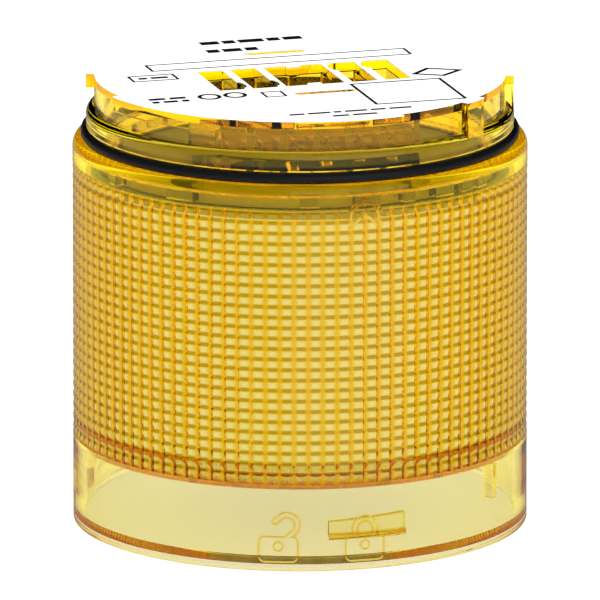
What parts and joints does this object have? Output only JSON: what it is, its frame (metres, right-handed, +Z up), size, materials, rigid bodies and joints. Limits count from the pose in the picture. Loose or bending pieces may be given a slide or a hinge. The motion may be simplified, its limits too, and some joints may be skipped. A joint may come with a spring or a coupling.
{
  "type": "signal tower light module",
  "caption": "Round amber beacon module for a stacking signal tower: prismatic lens, socket skirt below, twist-lock plug neck with seal above, sprung contacts.",
  "frame": {"origin": "centre of the bottom rim, in the plane that the module stands on", "axes": "+Z up the tower along the lens's axis; -Y is the front, with the index mark and the closed padlock; +X to the right of someone who faces the front"},
  "size_m": [0.06, 0.06, 0.06],
  "materials": {
    "amber_lens": "clear amber polycarbonate, polished, prismatic band",
    "amber_neck": "clear amber polycarbonate, polished",
    "amber_plate": "clear amber polycarbonate",
    "seal_rubber": "smooth black nitrile rubber",
    "label_film": null,
    "diffuser_white": "frosted translucent",
    "board_mask": "satin solder mask",
    "board_white": "white solder mask",
    "led_package": "phosphor-filled light-emitting packages",
    "header_plastic": "natural nylon",
    "reflector_white": "matt white",
    "component_black": "moulded epoxy",
    "capacitor_can": "brushed can",
    "component_ceramic": "matt body",
    "screw_steel": "zinc plated",
    "contact_brass": "stamped, tinned brass",
    "spring_bronze": "phosphor bronze leaf"
  },
  "bodies": {
    "module": {"lens": "amber_lens", "neck_housing": "amber_neck", "contact_carrier": "amber_plate", "socket_block": "amber_neck", "o_ring": "seal_rubber", "label": "label_film", "diffuser": "diffuser_white", "driver_board": "board_mask", "led_board_front": "board_white", "led_board_back": "board_white", "led_emitters_front": "led_package", "led_emitters_back": "led_package", "board_connectors": "header_plastic", "upper_reflector": "reflector_white", "rectifier": "component_black", "capacitor": "capacitor_can", "driver_chip": "component_black", "resistors": "component_ceramic", "board_screws": "screw_steel", "bus_strip_1": "contact_brass", "bus_strip_2": "contact_brass", "bus_strip_3": "contact_brass", "bus_strip_4": "contact_brass", "bus_strip_5": "contact_brass", "bus_strip_6": "contact_brass"},
    "spring_1": {"contact_spring_1": "spring_bronze"},
    "spring_2": {"contact_spring_2": "spring_bronze"},
    "spring_3": {"contact_spring_3": "spring_bronze"},
    "spring_4": {"contact_spring_4": "spring_bronze"},
    "spring_5": {"contact_spring_5": "spring_bronze"},
    "spring_6": {"contact_spring_6": "spring_bronze"}
  },
  "joints": [
    {"name": "spring_1_flex", "type": "hinge", "parent": "module", "child": "spring_1", "pos_m": [-0.0113, -0.0015, 0.0514], "axis": [0, -1, 0], "range_deg": [0, 5], "stiffness_Nm_per_rad": 0.1},
    {"name": "spring_2_flex", "type": "hinge", "parent": "module", "child": "spring_2", "pos_m": [-0.00678, -0.0015, 0.0514], "axis": [0, -1, 0], "range_deg": [0, 5], "stiffness_Nm_per_rad": 0.1},
    {"name": "spring_3_flex", "type": "hinge", "parent": "module", "child": "spring_3", "pos_m": [-0.00226, -0.0015, 0.0514], "axis": [0, -1, 0], "range_deg": [0, 5], "stiffness_Nm_per_rad": 0.1},
    {"name": "spring_4_flex", "type": "hinge", "parent": "module", "child": "spring_4", "pos_m": [0.00226, -0.0015, 0.0514], "axis": [0, -1, 0], "range_deg": [0, 5], "stiffness_Nm_per_rad": 0.1},
    {"name": "spring_5_flex", "type": "hinge", "parent": "module", "child": "spring_5", "pos_m": [0.00678, -0.0015, 0.0514], "axis": [0, -1, 0], "range_deg": [0, 5], "stiffness_Nm_per_rad": 0.1},
    {"name": "spring_6_flex", "type": "hinge", "parent": "module", "child": "spring_6", "pos_m": [0.0113, -0.0015, 0.0514], "axis": [0, -1, 0], "range_deg": [0, 5], "stiffness_Nm_per_rad": 0.1}
  ]
}
